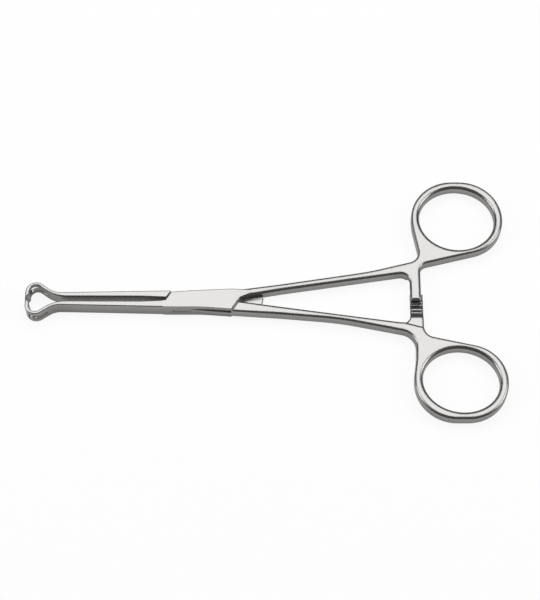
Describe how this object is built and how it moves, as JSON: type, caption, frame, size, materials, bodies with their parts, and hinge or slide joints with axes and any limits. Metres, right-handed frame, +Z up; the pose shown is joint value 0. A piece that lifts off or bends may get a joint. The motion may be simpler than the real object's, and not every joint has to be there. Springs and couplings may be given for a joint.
{
  "type": "tissue forceps",
  "caption": "Ring-handled tissue forceps with a box lock, interlocking ratchet bars and rounded, fenestrated jaws that meet at ridged tips around an open loop.",
  "frame": {"origin": "pivot axis of the box lock, in the plane of the lock's underside", "axes": "+X from the lock to the finger rings, +Y to the ring of the box half, +Z up through the lock"},
  "size_m": [0.1606, 0.088, 0.006],
  "materials": {
    "satin_steel_box": "satin, brushed along its length",
    "satin_steel_tongue": "satin, brushed along its length",
    "pin_steel": "satin, ground flush with the lock"
  },
  "bodies": {
    "box_side": {"box_half": "satin_steel_box", "pivot_pin": "pin_steel"},
    "tongue_side": {"tongue_half": "satin_steel_tongue"}
  },
  "joints": [
    {"name": "lock_pivot", "type": "hinge", "parent": "box_side", "child": "tongue_side", "pos_m": [0, 0, 0.003], "axis": [0, 0, -1], "range_deg": [0, 60]}
  ]
}
